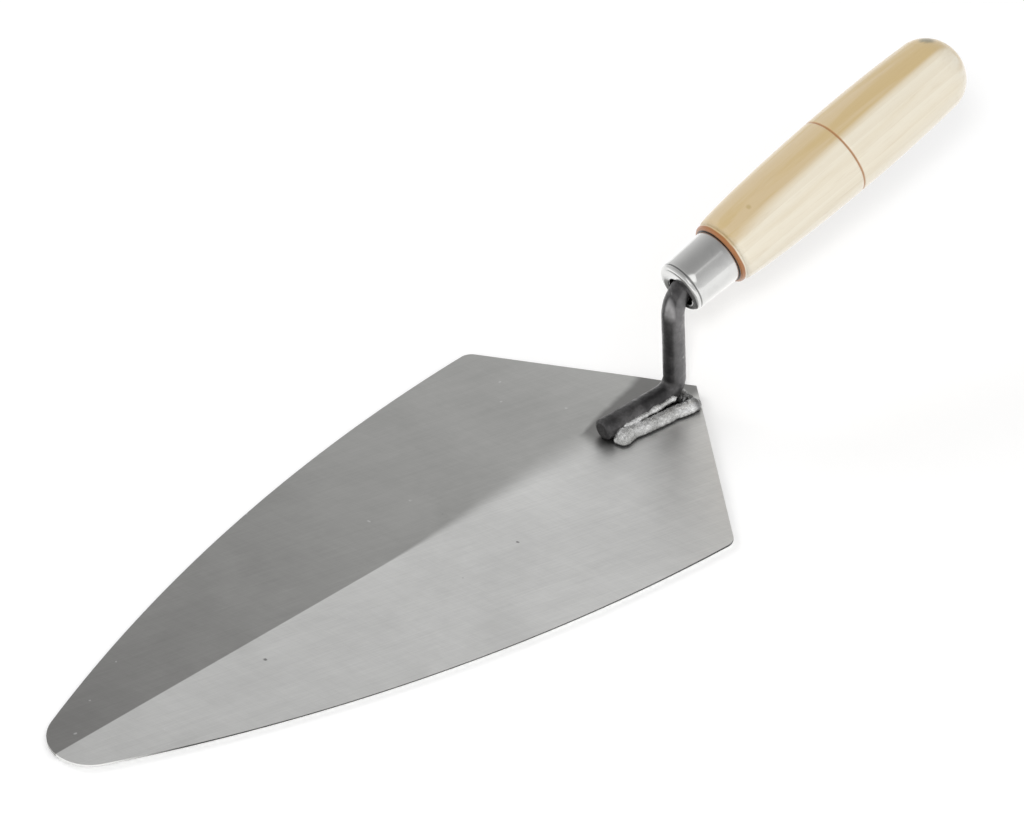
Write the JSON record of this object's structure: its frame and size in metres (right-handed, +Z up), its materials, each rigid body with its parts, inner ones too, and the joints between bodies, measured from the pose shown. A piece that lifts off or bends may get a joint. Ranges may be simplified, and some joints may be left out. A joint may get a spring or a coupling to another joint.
{
  "type": "brick trowel",
  "caption": "Bricklayer's trowel: triangular ground steel blade, bent round tang welded at the heel, metal ferrule and turned wooden grip.",
  "frame": {"origin": "on the blade's flat underside, straight below the point where the tang's post meets its foot", "axes": "+X towards the blade's nose, +Y to the left of someone holding the grip and looking at the nose, +Z up from the underside"},
  "size_m": [0.4014, 0.1368, 0.0956],
  "materials": {
    "blade_steel": "satin, belt ground",
    "tang_steel": "dark scaled bar, slightly glossy",
    "weld_metal": "rough bright weld bead",
    "ferrule_plate": "bright nickel plate",
    "grip_wood": "clear lacquer, two burnt rings"
  },
  "bodies": {
    "root": {"blade": "blade_steel", "tang": "tang_steel", "weld_near": "weld_metal", "weld_far": "weld_metal", "weld_heel": "weld_metal", "ferrule": "ferrule_plate", "grip": "grip_wood"}
  },
  "joints": []
}
